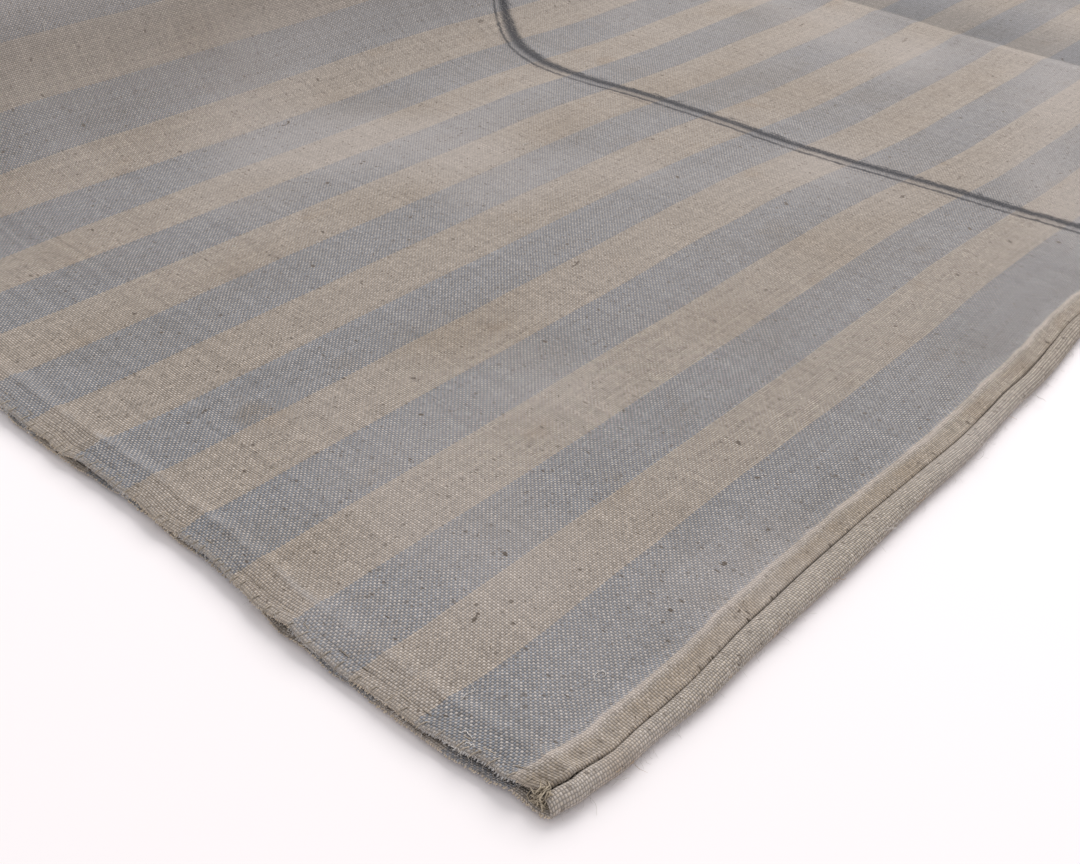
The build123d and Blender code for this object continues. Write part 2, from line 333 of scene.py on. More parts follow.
def back_cloth_grid(us, vs):
    """The same for the back panel."""
    points = np.zeros((len(vs), len(us), 3))
    normals = np.zeros_like(points)
    for row, v in enumerate(vs):
        at_hem = smooth(PANEL_LENGTH - HEM_RISE, PANEL_LENGTH, v)
        front_base = front_base_at(v)
        base = at_hem * (BACK_HEM_BASE + (HEM_THICKNESS - CLOTH) / 2)
        share = share_at(v)
        left_edge = np.array([PANEL_WIDTH])
        end, _, slope = front_section(left_edge, share, ease_at(v), front_base + CLOTH / 2)
        left_end = end[0] + FLANK_OFFSET
        roll = eased(ROLL_WIDTH, v)
        start_settle = 1 - 0.55 * np.exp(-((v / (4 * MM)) ** 2))
        top = base + CLOTH + (front_base - base - CLOTH / 2) * start_settle
        place, normal = back_section(us, share, left_end, slope[0], base, top, CLOTH, roll)
        place[:, 0] += seam_wander(us, v) + 0.35 * MM * wave(v / 0.03, 0, 31) * hill(6 * MM, 8 * MM, us)
        curl_up = 0.6 * MM * np.exp(-v / (6 * MM)) * smooth(0.0, 0.02, us)
        place[:, 1] += bottom_lift(us, v) + curl_up + 0.2 * MM
        y = PANEL_START + v - 0.3 * MM + back_edge_wander(us, v)
        points[row] = np.stack([place[:, 0], y, place[:, 1]], axis=1)
        normals[row] = np.stack([normal[:, 0], np.zeros(len(us)), normal[:, 1]], axis=1)
    return points, normals


# ---------------------------------------------------------------- meshes


def mesh_piece(name, verts, faces, material, uvs=None):
    """A smooth-shaded piece, with its "cloth" UV map if it has one."""
    mesh = bpy.data.meshes.new(name)
    mesh.from_pydata(verts, [], faces)
    if uvs is not None:
        layer = mesh.uv_layers.new(name="cloth")
        corner_verts = np.zeros(len(mesh.loops), np.int32)
        mesh.loops.foreach_get("vertex_index", corner_verts)
        layer.data.foreach_set("uv", np.asarray(uvs, np.float32)[corner_verts].ravel())
    mesh.shade_smooth()
    mesh.materials.append(material)
    piece = bpy.data.objects.new(name, mesh)
    bpy.context.scene.collection.objects.link(piece)
    work = bmesh.new()
    work.from_mesh(mesh)
    bmesh.ops.recalc_face_normals(work, faces=work.faces)
    work.to_mesh(mesh)
    work.free()
    return piece


def finish_piece(piece, slot, *nodes):
    """Puts a piece on the sack's body, in place of the CAD nodes it stands for. The slot is not used."""
    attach(piece, "root")
    if nodes:
        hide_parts(*nodes)
    return piece


def cloth_shell(name, middle, normals, us, vs, material, thickness=CLOTH):
    """Closed sheet of cloth round a grid of middle points."""
    rows, columns = middle.shape[:2]
    verts = np.concatenate([(middle + normals * side * thickness / 2).reshape(-1, 3) for side in (1, -1)])
    count = rows * columns
    index = np.arange(count).reshape(rows, columns)
    a, b = index[:-1, :-1].ravel(), index[:-1, 1:].ravel()
    c, d = index[1:, 1:].ravel(), index[1:, :-1].ravel()
    rim = np.concatenate([index[0, :], index[1:, -1], index[-1, -2::-1], index[-2:0:-1, 0]])
    following = np.roll(rim, -1)
    faces = np.concatenate(
        [
            np.stack([d, c, b, a], axis=1),
            np.stack([a, b, c, d], axis=1) + count,
            np.stack([rim, following, following + count, rim + count], axis=1),
        ]
    )
    grid_u, grid_v = np.meshgrid(us, vs)
    uvs = np.stack([grid_u.ravel(), grid_v.ravel()], axis=1)
    return mesh_piece(name, verts.tolist(), faces.tolist(), material, np.concatenate([uvs, uvs]))


def tubes(name, paths, material, sides=5):
    """One piece of many threads, each a tube of (points, radius) closed at both ends."""
    verts, faces = [], []
    for points, radius in paths:
        points = [Vector(p) for p in points]
        start = len(verts)
        for i, point in enumerate(points):
            ahead = points[min(i + 1, len(points) - 1)] - points[max(i - 1, 0)]
            ahead = ahead.normalized() if ahead.length > 0 else Vector((0, 0, 1))
            side = ahead.cross(Vector((0.13, 0.21, 0.97))).normalized()
            up = side.cross(ahead)
            taper = 0.55 if i in (0, len(points) - 1) else 1.0
            for k in range(sides):
                angle = 2 * math.pi * k / sides
                verts.append(point + (side * math.cos(angle) + up * math.sin(angle)) * radius * taper)
        for i in range(len(points) - 1):
            for k in range(sides):
                a, b = start + i * sides + k, start + i * sides + (k + 1) % sides
                faces.append((a, b, b + sides, a + sides))
        faces.append(tuple(start + k for k in reversed(range(sides))))
        faces.append(tuple(start + (len(points) - 1) * sides + k for k in range(sides)))
    return mesh_piece(name, verts, faces, material)


# ---------------------------------------------------------------- material nodes


class Graph:
    """A material's nodes, with arithmetic on their sockets."""

    def __init__(self, name):
        self.material = bpy.data.materials.new(name)
        self.material.use_nodes = True
        self.nodes = self.material.node_tree.nodes
        self.links = self.material.node_tree.links
        self.shader = self.nodes["Principled BSDF"]

    def put(self, socket, value):
        if isinstance(value, bpy.types.NodeSocket):
            self.links.new(value, socket)
        elif isinstance(value, tuple) and len(value) == 3 and socket.type == "RGBA":
            socket.default_value = (*value, 1)
        else:
            socket.default_value = value

    def node(self, kind, inputs=(), **settings):
        made = self.nodes.new(kind)
        for key, value in settings.items():
            setattr(made, key, value)
        for key, value in dict(inputs).items():
            self.put(made.inputs[key], value)
        return made

    def math(self, operation, a, b=0.0, c=0.0, clamp=False):
        made = self.node("ShaderNodeMath", operation=operation, use_clamp=clamp)
        for socket, value in zip(made.inputs, (a, b, c)):
            self.put(socket, value)
        return made.outputs[0]

    def add(self, a, b):
        return self.math("ADD", a, b)

    def times(self, a, b):
        return self.math("MULTIPLY", a, b)

    def minus(self, a, b):
        return self.math("SUBTRACT", a, b)

    def ramp(self, value, low, high, to_low=0.0, to_high=1.0, smooth_step=True):
        kind = "SMOOTHSTEP" if smooth_step else "LINEAR"
        inputs = {0: value, 1: low, 2: high, 3: to_low, 4: to_high}
        return self.node("ShaderNodeMapRange", inputs, interpolation_type=kind).outputs[0]

    def blend(self, factor, a, b, kind="MIX"):
        made = self.node("ShaderNodeMix", data_type="RGBA", blend_type=kind, clamp_factor=True)
        self.put(made.inputs[0], factor)
        self.put(made.inputs[6], a)
        self.put(made.inputs[7], b)
        return made.outputs[2]

    def between(self, factor, a, b):
        made = self.node("ShaderNodeMix", data_type="FLOAT")
        self.put(made.inputs[0], factor)
        self.put(made.inputs[2], a)
        self.put(made.inputs[3], b)
        return made.outputs[0]

    def vector(self, x, y, z=0.0):
        return self.node("ShaderNodeCombineXYZ", {0: x, 1: y, 2: z}).outputs[0]

    def noise(self, x, y, detail=2.0, z=0.0):
        """Noise from about 0 to 1 with features one unit of x and y across."""
        inputs = {"Vector": self.vector(x, y, z), "Scale": 1.0, "Detail": detail}
        return self.node("ShaderNodeTexNoise", inputs).outputs[0]

    def random(self, x, y=0.0):
        inputs = {"Vector": self.vector(x, y)}
        return self.node("ShaderNodeTexWhiteNoise", inputs, noise_dimensions="2D").outputs[0]

    def scaled(self, colour, factor):
        return self.blend(1.0, colour, self.vector(factor, factor, factor), "MULTIPLY")

    def peak(self, value, centre, width):
        """1 at centre, falling to 0 at width on either side."""
        away = self.math("ABSOLUTE", self.minus(value, centre))
        return self.ramp(away, 0.0, width, 1.0, 0.0)

    def bump(self, height, distance, strength=1.0, under=None):
        inputs = {"Height": height, "Distance": distance, "Strength": strength}
        made = self.node("ShaderNodeBump", inputs)
        if under is not None:
            self.put(made.inputs["Normal"], under)
        return made.outputs[0]


WEFT = (0.520, 0.465, 0.420)
WARP_BEIGE = (0.425, 0.358, 0.296)
WARP_BLUE = (0.240, 0.257, 0.292)
SELVEDGE = (0.46, 0.395, 0.325)
FLECK = (0.11, 0.085, 0.065)
WORN_LINE = (0.042, 0.042, 0.050)

# The worn line across the front: (u, v) on the cloth in metres
WORN_LINE_PATH = (
    (0.000, 0.382),
    (0.034, 0.3785),
    (0.113, 0.369),
    (0.162, 0.3635),
    (0.255, 0.3575),
    (0.294, 0.3525),
    (0.328, 0.3545),
    (0.365, 0.3705),
    (0.413, 0.4035),
    (0.453, 0.439),
    (0.520, 0.480),
    (0.673, 0.500),
)


def stripe_colour(g, end, stripe_ends):
    """The colour of each warp thread, by its number across the cloth."""
    total = float(sum(stripe_ends))
    stripes = g.node("ShaderNodeValToRGB")
    stripes.color_ramp.interpolation = "CONSTANT"
    edge = 0.0
    for number, ends in enumerate(stripe_ends):
        colour = WARP_BLUE if number % 2 else WARP_BEIGE
        if number in (0, len(stripe_ends) - 1):
            colour = SELVEDGE
        if number == 0:
            element = stripes.color_ramp.elements[0]
            stripes.color_ramp.elements.remove(stripes.color_ramp.elements[1])
        else:
            element = stripes.color_ramp.elements.new(edge / total)
        element.color = (*colour, 1)
        edge += ends
    g.put(stripes.inputs[0], g.math("DIVIDE", g.add(end, 0.5), total))
    return stripes.outputs[0]


def stained(g, us, vs, colour):
    """Ages of use: broad dull and ochre blotches, and a paler bloom."""
    blotch = g.ramp(g.noise(g.times(us, 14), g.times(vs, 11), 4.0), 0.46, 0.74)
    colour = g.blend(g.times(blotch, 0.38), colour, (0.70, 0.62, 0.50), "MULTIPLY")
    rust = g.ramp(g.noise(g.times(us, 38), g.times(vs, 30), 3.0, z=9.0), 0.60, 0.80)
    colour = g.blend(g.times(rust, 0.45), colour, (0.74, 0.60, 0.42), "MULTIPLY")
    bloom = g.ramp(g.noise(g.times(us, 7.5), g.times(vs, 6.5), 2.0, z=17.0), 0.46, 0.70)
    return g.blend(g.times(bloom, 0.28), colour, (0.58, 0.53, 0.51))


def flecked(g, us, vs, colour):
    """Dark slubs and flecks caught in the weave, lying every way."""
    turned_u, turned_v = g.add(us, vs), g.minus(g.add(vs, 2.0), us)
    kinds = (  # across, along, cells a metre, their stretch, size in a cell, share of cells, strength
        (us, vs, 110, 3.2, 0.080, 0.24, 0.85),
        (us, vs, 38, 0.35, 0.026, 0.26, 0.85),
        (turned_u, turned_v, 80, 3.6, 0.066, 0.20, 0.85),
        (turned_v, turned_u, 95, 2.6, 0.060, 0.22, 0.80),
        (us, vs, 170, 1.0, 0.090, 0.12, 0.70),
        (us, vs, 60, 1.3, 0.050, 0.14, 0.90),
        (us, vs, 330, 1.0, 0.20, 0.16, 0.40),
    )
    for number, (x, y, scale, stretch, size, share, strength) in enumerate(kinds):
        bend = g.times(g.minus(g.noise(g.times(us, 330), g.times(vs, 330), z=30.0 + number), 0.5), 0.22)
        place = g.vector(g.add(g.times(x, scale), bend), g.add(g.times(y, scale * stretch), bend))
        inputs = {"Vector": place, "Scale": 1.0}
        cells = g.node("ShaderNodeTexVoronoi", inputs, voronoi_dimensions="2D")
        lot = g.node("ShaderNodeSeparateColor", {0: cells.outputs["Color"]}).outputs
        reach = g.times(size, g.add(lot[1], 0.35))
        spot = g.ramp(cells.outputs["Distance"], g.times(reach, 0.6), g.times(reach, 1.25), 1.0, 0.0)
        chosen = g.math("LESS_THAN", lot[0], share)
        colour = g.blend(g.times(g.times(spot, chosen), strength), colour, FLECK)
    return colour


def striped_linen(name, seed, stripe_ends, front=False):
    """Plain-woven linen with blue and beige warp stripes, with painted shade between its threads. The front
    also has its seams' marks and wear, and painted light and shade.
    """
    g = Graph(name)
    uv = g.node("ShaderNodeUVMap", uv_map="cloth").outputs[0]
    parts = g.node("ShaderNodeSeparateXYZ", {0: uv}).outputs
    u, v = parts[0], parts[1]
    us, vs = g.add(u, seed * 0.37), g.add(v, seed * 0.53)

    # threads: their centres stray a little from straight lines
    stray_u = g.times(g.minus(g.noise(g.times(us, 22), g.times(vs, 22), 3.0), 0.5), 1.8)
    stray_v = g.times(g.minus(g.noise(g.times(us, 22), g.times(vs, 22), 3.0, z=4.0), 0.5), 3.0)
    across = g.add(g.math("DIVIDE", u, WARP_PITCH), stray_u)
    along = g.add(g.math("DIVIDE", v, WEFT_PITCH), stray_v)
    end, pick = g.math("FLOOR", across), g.math("FLOOR", along)
    a = g.minus(g.minus(across, end), 0.5)
    b = g.minus(g.minus(along, pick), 0.5)
    weft_up = g.math("FLOORED_MODULO", g.add(end, pick), 2.0)
    over = g.between(weft_up, a, b)
    lengthwise = g.between(weft_up, b, a)
    body = g.minus(1.0, g.times(g.times(over, over), 3.7))
    crown = g.minus(1.0, g.times(g.times(lengthwise, lengthwise), 2.5))
    height = g.math("MAXIMUM", g.times(body, crown), 0.0)
    if front:
        rib = g.minus(1.0, g.times(g.times(b, b), 3.0))
        height = g.between(g.ramp(u, 4.8 * MM, 6.6 * MM, 0.40, 0.0), height, rib)

    warp = stripe_colour(g, end, stripe_ends)

    # each thread has its own tone, and slubs and streaks run along it
    warp_streaks = g.noise(g.times(end, 7.3), g.times(vs, 45), 3.0)
    weft_streaks = g.noise(g.times(us, 45), g.times(pick, 7.3), 3.0)
    warp_tone = g.add(g.times(g.random(end, seed), 0.24), g.times(warp_streaks, 0.60))
    weft_tone = g.add(g.times(g.random(pick, seed + 5), 0.24), g.times(weft_streaks, 0.60))
    tone = g.between(weft_up, g.add(warp_tone, 0.53), g.add(weft_tone, 0.53))
    cell = g.ramp(g.random(end, g.add(pick, seed)), 0.0, 1.0, 0.80, 1.16, False)
    colour = g.blend(weft_up, warp, g.blend(0.26, WEFT, warp))
    # painted shade: the threads' dips and the gaps between them are darker and their crowns a little lighter,
    # with some dirt in the gaps
    shade = g.ramp(height, 0.0, 0.85, 0.38, 1.10)
    colour = g.scaled(colour, g.times(g.times(shade, tone), cell))

    colour = flecked(g, us, vs, stained(g, us, vs, colour))
    if front:
        colour = worn_front(g, u, v, us, vs, colour)
    g.put(g.shader.inputs["Base Color"], colour)
    g.put(g.shader.inputs["Roughness"], g.ramp(height, 0.0, 1.0, 0.98, 0.84, False))
    g.shader.inputs["Specular IOR Level"].default_value = 0.22
    g.shader.inputs["Sheen Weight"].default_value = 0.12
    g.shader.inputs["Sheen Roughness"].default_value = 0.5
    relief = g.bump(height, 0.30 * MM, 0.9)
    fuzz = g.noise(g.times(us, 2600), g.times(vs, 2600), 2.0)
    g.put(g.shader.inputs["Normal"], g.bump(fuzz, 0.06 * MM, 0.6, relief))
    return g.material


def worn_front(g, u, v, us, vs, colour):
    """Painted light on the middle and the fullness, the seams' painted highlights and shade with their wear
    and grime, the crease's painted shade and highlight, and the worn line, over the front's weave.
    """
    colour = painted_light_middle_and_fullness(g, u, v, colour)
    colour = side_seam_marks(g, u, us, vs, colour)
    colour = bottom_seam_marks(g, v, us, vs, colour)
    colour = crease_marks(g, v, us, colour)
    return worn_line(g, u, v, us, vs, colour)


def painted_light_middle_and_fullness(g, u, v, colour):
    """Painted light: the middle is painted paler than the hems and corners, and the fullness a paler grey."""
    # painted light: the middle of the front is paler
    middle = g.times(g.ramp(v, 0.02, 0.30), g.ramp(u, 0.50, 0.30))
    colour = g.blend(g.times(middle, 0.10), colour, (0.60, 0.53, 0.49))
    # painted light: the fullness's flank is paler and greyer
    return g.blend(g.times(g.ramp(u, 0.34, 0.46), 0.32), colour, (0.64, 0.585, 0.55))


def side_seam_marks(g, u, us, vs, colour):
    """The fold pressed beside the right seam is worn pale with a painted highlight on it, and the cloth from
    it down to the seam gets painted shade with some grime.
    """
    uneven = g.ramp(g.noise(g.times(us, 60), g.times(vs, 60), 4.0, z=39.0), 0.30, 0.65, 0.35, 1.0)
    stray_fold = g.times(g.minus(g.noise(0.0, g.times(vs, 90), 3.0, z=38.0), 0.5), 4.0 * MM)
    # the fold's crown: pale wear and a painted highlight
    fold = g.times(g.peak(g.add(u, stray_fold), 7.2 * MM, 2.0 * MM), uneven)
    colour = g.blend(g.times(fold, 0.60), colour, (0.66, 0.575, 0.52))
    # painted shade with some grime on the slope down to the seam's groove
    slope_shade_and_grime = g.times(g.ramp(u, 4.2 * MM, 6.4 * MM, 0.80, 0.0), g.ramp(uneven, 0.35, 1.0, 1.0, 0.45))
    return g.blend(slope_shade_and_grime, colour, (0.78, 0.73, 0.66), "MULTIPLY")


def bottom_seam_marks(g, v, us, vs, colour):
    """Worn lines with a painted highlight over the bottom seam's allowance, painted shade in its hollows, and
    a frayed edge.
    """
    patchy = g.ramp(g.noise(g.times(us, 110), g.times(vs, 160), 4.0, z=40.0), 0.42, 0.64)
    patchy = g.times(patchy, g.ramp(g.noise(g.times(us, 24), 0.0, 2.0, z=43.0), 0.36, 0.60, 0.15, 1.0))
    stray = g.times(g.minus(g.noise(g.times(us, 50), 0.0, 3.0, z=41.0), 0.5), 5.0 * MM)
    from_edge = g.add(v, stray)
    # pale wear with a painted highlight along the allowance's ridges
    worn = g.add(g.times(g.peak(from_edge, 6.8 * MM, 1.2 * MM), 0.5), g.peak(from_edge, 10.6 * MM, 2.2 * MM))
    colour = g.blend(g.times(g.times(worn, patchy), 0.34), colour, (0.56, 0.54, 0.54))
    # painted shade in the stitched groove and beside the allowance's ridge
    hollow_shade = g.add(g.peak(from_edge, 9.4 * MM, 1.4 * MM), g.peak(from_edge, 3.9 * MM, 1.2 * MM))
    colour = g.blend(g.times(hollow_shade, 0.15), colour, (0.55, 0.50, 0.45), "MULTIPLY")
    rim = g.ramp(v, 0.2 * MM, 2.0 * MM, 0.45, 0.0)
    return g.blend(rim, colour, (0.62, 0.54, 0.46))


def crease_marks(g, v, us, colour):
    """A dark line in the valley beyond the crease's ridge, painted shade with some dirt, then a soft painted
    shade beyond it, and a painted highlight on the ridge.
    """
    beyond = g.minus(v, CREASE_AT)
    wander = g.times(g.minus(g.noise(g.times(us, 40), 0.0, 3.0, z=50.0), 0.5), 2.0 * MM)
    # painted shade with some dirt in the valley beyond the ridge
    line = g.peak(g.add(beyond, wander), 3.0 * MM, 2.6 * MM)
    colour = g.blend(g.times(line, 0.22), colour, (0.20, 0.17, 0.14))
    # painted shade on the cloth beyond the crease
    shade = g.times(g.ramp(beyond, 0.0, 5.0 * MM), g.ramp(beyond, 14 * MM, 90 * MM, 1.0, 0.0))
    colour = g.blend(g.times(shade, 0.75), colour, (0.58, 0.61, 0.65), "MULTIPLY")
    # painted highlight on the crease's ridge
    light = g.peak(beyond, -4.5 * MM, 9.0 * MM)
    return g.blend(g.times(light, 0.05), colour, (0.62, 0.57, 0.54))


def past_worn_line(g, u, v):
    """How far each point of the cloth lies past the middle of the worn line."""
    path = g.node("ShaderNodeFloatCurve")
    curve = path.mapping.curves[0]
    for place, (across, along) in enumerate(WORN_LINE_PATH):
        x, y = across / WORN_LINE_PATH[-1][0], along
        if place < len(curve.points):
            curve.points[place].location = (x, y)
        else:
            curve.points.new(x, y)
    path.mapping.update()
    g.put(path.inputs["Value"], g.math("DIVIDE", u, WORN_LINE_PATH[-1][0], clamp=True))
    return g.minus(v, path.outputs[0])


def worn_line(g, u, v, us, vs, colour):
    """The rubbed double line: a grainy upper band, a lower line, a hair line, crumbs and a smear."""
    shake = g.times(g.minus(g.noise(g.times(us, 130), 0.0, 3.0, z=60.0), 0.5), 1.6 * MM)
    ragged = g.times(g.minus(g.noise(g.times(us, 420), g.times(vs, 420), 2.0, z=66.0), 0.5), 2.2 * MM)
    off = g.add(past_worn_line(g, u, v), g.add(shake, ragged))
    ends = g.ramp(u, 0.44, 0.52, 1.0, 0.0)
    brushed = g.noise(g.times(us, 700), g.times(vs, 1300), 2.0, z=61.0)
    streaks = g.noise(g.times(us, 90), g.times(vs, 1100), 3.0, z=64.0)
    patch = g.noise(g.times(us, 28), g.times(vs, 28), 3.0, z=62.0)
    bend = g.peak(u, 0.36, 0.10)

    wide = g.add(3.8 * MM, g.times(bend, 1.5 * MM))
    upper = g.ramp(g.math("ABSOLUTE", off), g.times(wide, 0.25), wide, 1.0, 0.0)
    soak = g.add(g.times(brushed, 0.5), g.add(g.times(streaks, 0.8), g.times(patch, 0.3)))
    grain = g.ramp(g.noise(g.times(us, 1150), g.times(vs, 1150), 1.0, z=65.0), 0.34, 0.56, 0.60, 1.0)
    upper = g.times(g.times(upper, grain), g.ramp(soak, 0.46, 0.74, 0.45, 1.0))
    core = g.times(g.peak(off, -0.4 * MM, 1.3 * MM), g.ramp(streaks, 0.30, 0.60, 0.35, 1.0))
    lower = g.peak(off, g.add(-6.2 * MM, g.times(bend, -0.8 * MM)), 1.7 * MM)
    lower = g.times(lower, g.ramp(soak, 0.55, 0.85, 0.40, 1.0))
    hair = g.times(g.peak(off, -9.0 * MM, 0.9 * MM), g.ramp(patch, 0.42, 0.60, 0.0, 0.6))
    grains = g.noise(g.times(us, 160), g.times(vs, 420), 3.0, z=63.0)
    crumbs = g.times(g.peak(off, 2.6 * MM, 3.6 * MM), g.ramp(grains, 0.55, 0.64))
    smudged = g.ramp(g.add(patch, g.times(streaks, 0.4)), 0.45, 0.90, 0.16, 0.55)
    smear = g.times(g.peak(off, -2.4 * MM, 6.0 * MM), smudged)
    smear = g.times(smear, g.ramp(bend, 0.0, 1.0, 0.8, 1.35))
    colour = g.blend(g.times(smear, ends), colour, (0.15, 0.15, 0.16))
    for mark, strength in ((hair, 0.7), (lower, 0.90), (upper, 0.96), (core, 0.75), (crumbs, 0.80)):
        colour = g.blend(g.times(g.times(mark, ends), strength), colour, WORN_LINE)
    return colour


def thread_material(name, tone, dark=0.55):
    """Spun yarn: streaky, matt and a little fuzzy."""
    g = Graph(name)
    place = g.node("ShaderNodeTexCoord").outputs["Object"]
    parts = g.node("ShaderNodeSeparateXYZ", {0: place}).outputs
    streak = g.noise(g.times(parts[0], 900), g.times(parts[1], 900), 3.0, z=g.times(parts[2], 900))
    patch = g.noise(g.times(parts[0], 40.0), g.times(parts[1], 40.0), 2.0)
    factor = g.times(g.ramp(streak, 0.3, 0.7, dark, 1.0), g.ramp(patch, 0.3, 0.7, 0.8, 1.1))
    g.put(g.shader.inputs["Base Color"], g.scaled(tone, factor))
    g.put(g.shader.inputs["Roughness"], g.ramp(streak, 0.2, 0.8, 0.95, 0.8))
    g.shader.inputs["Specular IOR Level"].default_value = 0.2
    g.shader.inputs["Sheen Weight"].default_value = 0.1
    g.put(g.shader.inputs["Normal"], g.bump(streak, 0.1 * MM))
    return g.material


def tape_material():
    """Herringbone cotton tape, with painted shade in the valleys between its ribs."""
    g = Graph("cotton_tape")
    uv = g.node("ShaderNodeUVMap", uv_map="cloth").outputs[0]
    parts = g.node("ShaderNodeSeparateXYZ", {0: uv}).outputs
    u, v = parts[0], parts[1]
    chevron = g.math("PINGPONG", g.times(v, 1000), 4.0)
    rib = g.math("SINE", g.times(g.add(g.times(u, 1000), chevron), 2 * math.pi / 1.1))
    rib = g.ramp(rib, -1.0, 1.0)
    stain = g.noise(g.times(u, 25), g.times(v, 25), 4.0)
    # the ribs' crests are lighter and their valleys darker: painted shade between the ribs
    colour = g.blend(rib, (0.34, 0.30, 0.24), (0.60, 0.55, 0.46))
    colour = g.blend(g.ramp(stain, 0.4, 0.7, 0.0, 0.5), colour, (0.72, 0.62, 0.48), "MULTIPLY")
    g.put(g.shader.inputs["Base Color"], colour)
    g.put(g.shader.inputs["Roughness"], g.ramp(rib, 0.0, 1.0, 0.97, 0.85))
    g.put(g.shader.inputs["Normal"], g.bump(rib, 0.2 * MM))
    return g.material


def brass_material():
    """Aged brass: browned in the hollows and rubbed bright where hands and cord touch it."""
    g = Graph("aged_brass")
    place = g.node("ShaderNodeTexCoord").outputs["Object"]
    parts = g.node("ShaderNodeSeparateXYZ", {0: place}).outputs
    tarnish = g.noise(g.times(parts[0], 320), g.times(parts[1], 320), 5.0, z=g.times(parts[2], 320))
    scratch = g.noise(g.times(parts[0], 3000), g.times(parts[1], 500), 3.0)
    worn = g.node("ShaderNodeNewGeometry").outputs["Pointiness"]
    rubbed = g.ramp(worn, 0.49, 0.56)
    colour = g.blend(g.ramp(tarnish, 0.35, 0.68), (0.52, 0.36, 0.15), (0.20, 0.13, 0.06))
    colour = g.blend(g.times(rubbed, 0.6), colour, (0.76, 0.58, 0.28))
    g.put(g.shader.inputs["Base Color"], colour)
    g.shader.inputs["Metallic"].default_value = 0.95
    g.put(g.shader.inputs["Roughness"], g.add(g.ramp(tarnish, 0.3, 0.7, 0.26, 0.55), g.times(scratch, 0.08)))
    g.put(g.shader.inputs["Normal"], g.bump(g.add(tarnish, g.times(scratch, 0.3)), 0.08 * MM, 0.5))
    return g.material


front_linen = striped_linen("striped_linen_front", 0.0, STRIPE_ENDS, front=True)
back_linen = striped_linen("striped_linen_back", 3.0, BACK_STRIPE_ENDS)
hem_linens = {
    "front": striped_linen("front_hem_linen", 0.0, STRIPE_ENDS),
    "back": striped_linen("back_hem_linen", 3.0, BACK_STRIPE_ENDS),
}
linen_thread = thread_material("linen_thread", (0.52, 0.45, 0.37))
seam_thread = thread_material("seam_thread", (0.30, 0.25, 0.19))
# near black: real thread, coloured as painted shade for the right seam's groove
groove_shade_thread = thread_material("groove_shade_thread", (0.10, 0.085, 0.07))
pale_thread = thread_material("pale_thread", (0.80, 0.76, 0.72), 0.8)
knot_thread = thread_material("knot_thread", (0.60, 0.51, 0.39), 0.42)
foxed_thread = thread_material("foxed_thread", (0.62, 0.40, 0.22), 0.7)
blue_yarn = thread_material("blue_yarn", (0.52, 0.50, 0.49), 0.75)
beige_yarn = thread_material("beige_yarn", (0.68, 0.58, 0.46), 0.75)
tape_cotton = tape_material()
brass = brass_material()


# ---------------------------------------------------------------- the two panels

front_us = lines_between(
    (0.0016, 0.4 * MM),
    (0.013, 0.9 * MM),
    (0.04, 2 * MM),
    (FLAT_RUN, 4.4 * MM),
    (0.42, 3.6 * MM),
    (PANEL_WIDTH, 5 * MM),
)
front_vs = lines_between(
    (0.016, 1.0 * MM),
    (0.045, 2.4 * MM),
    (CREASE_AT - 0.014, 5.6 * MM),
    (CREASE_AT + 0.012, 1.2 * MM),
    (PANEL_LENGTH + HEM_TUCK, 6 * MM),
)
front_grid = front_cloth_grid(front_us, front_vs)
front_cloth = cloth_shell("front_cloth", *front_grid, front_us, front_vs, front_linen)
finish_piece(front_cloth, "striped_linen", "front_panel")

back_us = lines_between(
    (0.0018, 0.3 * MM),
    (0.014, 0.7 * MM),
    (0.03, 2 * MM),
    (0.56, 7 * MM),
    (PANEL_WIDTH, 2.5 * MM),
)
back_vs = lines_between((0.02, 1.6 * MM), (0.13, 4.5 * MM), (PANEL_LENGTH + HEM_TUCK, 6 * MM))
back_grid = back_cloth_grid(back_us, back_vs)
back_cloth = cloth_shell("back_cloth", *back_grid, back_us, back_vs, back_linen)
finish_piece(back_cloth, "striped_linen", "back_panel")


# ---------------------------------------------------------------- the mouth: hems, tapes, eyelets


def mouth_strip(panel, us):
    """Inner surface of a panel's hem, and its outward direction, at distances across it."""
    front, outward, slope = front_section(us, 1.0, 1.0, FRONT_HEM_BASE)
    if panel == "front":
        return front, outward
    middle_top = FRONT_HEM_BASE + HEM_THICKNESS / 2
    end = front[-1] + outward[-1] * HEM_THICKNESS / 2 + FLANK_OFFSET
    place, outward = back_section(us, 1.0, end, slope[-1], BACK_HEM_BASE, middle_top, HEM_THICKNESS)
    return place - outward * HEM_THICKNESS / 2, outward


def swept(panel, us, path, thickness, name, material):
    """Sweeps a path of (depth from the hem's start, height from its inner surface) along the mouth."""
    base, outward = mouth_strip(panel, us)
    path = np.array(path)
    run = np.concatenate([[0], np.cumsum(np.linalg.norm(np.diff(path, axis=0), axis=1))])
    along = np.gradient(path, run, axis=0)
    along /= np.linalg.norm(along, axis=1)[:, None]
    middle = np.zeros((len(path), len(us), 3))
    normals = np.zeros_like(middle)
    ripple = 0.22 * MM * wave(us / 0.012, 0, 41) + 0.35 * MM * wave(us / 0.05, 0, 42)
    for row, (depth, height) in enumerate(path):
        place = base + outward * height
        y = HEM_START + depth + ripple * depth / HEM_DEPTH * 0.6
        middle[row] = np.stack([place[:, 0], y, place[:, 1]], axis=1)
        across, up = -along[row][1], along[row][0]
        normals[row] = np.stack([outward[:, 0] * up, np.full(len(us), across), outward[:, 1] * up], axis=1)
    return cloth_shell(name, middle, normals, us, PANEL_LENGTH + run, material, thickness)


